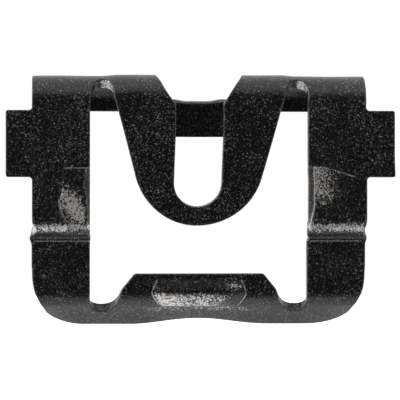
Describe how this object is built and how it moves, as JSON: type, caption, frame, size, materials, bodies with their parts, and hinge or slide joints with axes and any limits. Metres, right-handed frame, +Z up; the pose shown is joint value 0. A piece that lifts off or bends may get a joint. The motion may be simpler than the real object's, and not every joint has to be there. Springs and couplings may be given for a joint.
{
  "type": "window moulding clip",
  "caption": "Stamped and bent black spring-steel clip: slotted centre tongue, side ears, rolled top edge, stepped lower frame with a catch lip and a turned-back lead-in edge.",
  "frame": {"origin": "rear face of the tongue on the clip's centre line, below the slot, where the body stud's head bears", "axes": "+X to the right across the clip, +Y away from the body panel, +Z up towards the rolled top edge"},
  "size_m": [0.0348, 0.0056, 0.0226],
  "materials": {
    "black_spring_steel": "semi-gloss black phosphate coat with a fine metallic speckle, rubbed brighter at the step and in the catch lip's dimple"
  },
  "bodies": {
    "columns": {"left_column": "black_spring_steel", "right_column": "black_spring_steel"},
    "tongue": {"stud_tongue": "black_spring_steel"},
    "bridge": {"back_bridge": "black_spring_steel"},
    "frame": {"lower_frame": "black_spring_steel"}
  },
  "joints": [
    {"name": "tongue_flex", "type": "hinge", "parent": "columns", "child": "tongue", "pos_m": [0, -0.00132, 0.00963], "axis": [1, 0, 0], "range_deg": [-4.5, 3], "stiffness_Nm_per_rad": 12},
    {"name": "bridge_flex", "type": "hinge", "parent": "columns", "child": "bridge", "pos_m": [0, 0.0026, 0.01054], "axis": [1, 0, 0], "range_deg": [0, 3], "stiffness_Nm_per_rad": 20},
    {"name": "frame_flex", "type": "hinge", "parent": "columns", "child": "frame", "pos_m": [0, -0.00013, -0.00222], "axis": [1, 0, 0], "range_deg": [-1.5, 3], "stiffness_Nm_per_rad": 15}
  ]
}
